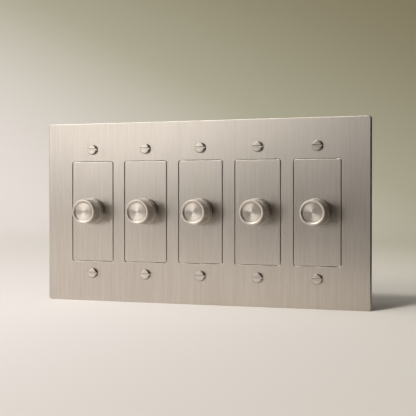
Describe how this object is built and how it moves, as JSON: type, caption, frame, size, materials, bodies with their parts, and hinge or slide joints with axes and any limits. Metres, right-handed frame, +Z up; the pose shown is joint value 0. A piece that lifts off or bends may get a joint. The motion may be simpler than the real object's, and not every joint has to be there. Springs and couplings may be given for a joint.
{
  "type": "rotary dimmer switch",
  "caption": "Ganged wall plate in brushed metal with flush inserts, slotted screws and round knurled knobs that turn to dim lights and push to switch them.",
  "frame": {"origin": "on the wall surface, which is the back of the plate's rim, on the middle knob's axis", "axes": "+X right, +Y into the wall, +Z up; the front faces -Y"},
  "size_m": [0.2636, 0.0527, 0.143],
  "materials": {
    "plate_steel": "fine vertical brushing, satin",
    "insert_steel": "fine vertical brushing, satin",
    "collar_steel": "turned, satin",
    "knob_steel": "knurled side, spun face",
    "screw_steel": "turned slotted heads, satin",
    "fastener_steel": "bright zinc",
    "brass": "turned and stamped, plain",
    "ground_green": "green passivated steel",
    "yoke_aluminium": "rolled sheet with punched edges",
    "housing_plastic": "moulded, fine spark texture",
    "control_plastic": "moulded, satin",
    "wiper_plastic": "moulded acetal, satin",
    "board": "lacquered glass-fibre board with soldered parts"
  },
  "bodies": {
    "base": {"wall_plate": "plate_steel", "insert_1": "insert_steel", "insert_2": "insert_steel", "insert_3": "insert_steel", "insert_4": "insert_steel", "insert_5": "insert_steel", "collar_1": "collar_steel", "collar_2": "collar_steel", "collar_3": "collar_steel", "collar_4": "collar_steel", "collar_5": "collar_steel", "plate_screws": "screw_steel", "bushing_washers": "fastener_steel", "housing_screws": "fastener_steel", "bushing_nuts": "brass", "terminal_plates": "brass", "terminal_screws": "brass", "ground_screws": "ground_green", "yoke_1": "yoke_aluminium", "yoke_2": "yoke_aluminium", "yoke_3": "yoke_aluminium", "yoke_4": "yoke_aluminium", "yoke_5": "yoke_aluminium", "housing_1": "housing_plastic", "housing_2": "housing_plastic", "housing_3": "housing_plastic", "housing_4": "housing_plastic", "housing_5": "housing_plastic", "control_case_1": "control_plastic", "control_case_2": "control_plastic", "control_case_3": "control_plastic", "control_case_4": "control_plastic", "control_case_5": "control_plastic", "switch_block_1": "control_plastic", "switch_block_2": "control_plastic", "switch_block_3": "control_plastic", "switch_block_4": "control_plastic", "switch_block_5": "control_plastic", "circuit_board_1": "board", "circuit_board_2": "board", "circuit_board_3": "board", "circuit_board_4": "board", "circuit_board_5": "board"},
    "wiper_1": {"wiper_1": "wiper_plastic"},
    "knob_1": {"knob_1": "knob_steel", "shaft_1": "brass"},
    "wiper_2": {"wiper_2": "wiper_plastic"},
    "knob_2": {"knob_2": "knob_steel", "shaft_2": "brass"},
    "wiper_3": {"wiper_3": "wiper_plastic"},
    "knob_3": {"knob_3": "knob_steel", "shaft_3": "brass"},
    "wiper_4": {"wiper_4": "wiper_plastic"},
    "knob_4": {"knob_4": "knob_steel", "shaft_4": "brass"},
    "wiper_5": {"wiper_5": "wiper_plastic"},
    "knob_5": {"knob_5": "knob_steel", "shaft_5": "brass"}
  },
  "joints": [
    {"name": "knob_1_turn", "type": "hinge", "parent": "base", "child": "wiper_1", "pos_m": [-0.09208, 0, 0], "axis": [0, 1, 0], "range_deg": [-140, 140]},
    {"name": "knob_1_push", "type": "slide", "parent": "wiper_1", "child": "knob_1", "axis": [0, 1, 0], "range_m": [0, 0.0012], "stiffness_N_per_m": 1500, "springref_m": -0.0015},
    {"name": "knob_2_turn", "type": "hinge", "parent": "base", "child": "wiper_2", "pos_m": [-0.04604, 0, 0], "axis": [0, 1, 0], "range_deg": [-140, 140]},
    {"name": "knob_2_push", "type": "slide", "parent": "wiper_2", "child": "knob_2", "axis": [0, 1, 0], "range_m": [0, 0.0012], "stiffness_N_per_m": 1500, "springref_m": -0.0015},
    {"name": "knob_3_turn", "type": "hinge", "parent": "base", "child": "wiper_3", "pos_m": [0, 0, 0], "axis": [0, 1, 0], "range_deg": [-140, 140]},
    {"name": "knob_3_push", "type": "slide", "parent": "wiper_3", "child": "knob_3", "axis": [0, 1, 0], "range_m": [0, 0.0012], "stiffness_N_per_m": 1500, "springref_m": -0.0015},
    {"name": "knob_4_turn", "type": "hinge", "parent": "base", "child": "wiper_4", "pos_m": [0.04604, 0, 0], "axis": [0, 1, 0], "range_deg": [-140, 140]},
    {"name": "knob_4_push", "type": "slide", "parent": "wiper_4", "child": "knob_4", "axis": [0, 1, 0], "range_m": [0, 0.0012], "stiffness_N_per_m": 1500, "springref_m": -0.0015},
    {"name": "knob_5_turn", "type": "hinge", "parent": "base", "child": "wiper_5", "pos_m": [0.09208, 0, 0], "axis": [0, 1, 0], "range_deg": [-140, 140]},
    {"name": "knob_5_push", "type": "slide", "parent": "wiper_5", "child": "knob_5", "axis": [0, 1, 0], "range_m": [0, 0.0012], "stiffness_N_per_m": 1500, "springref_m": -0.0015}
  ]
}
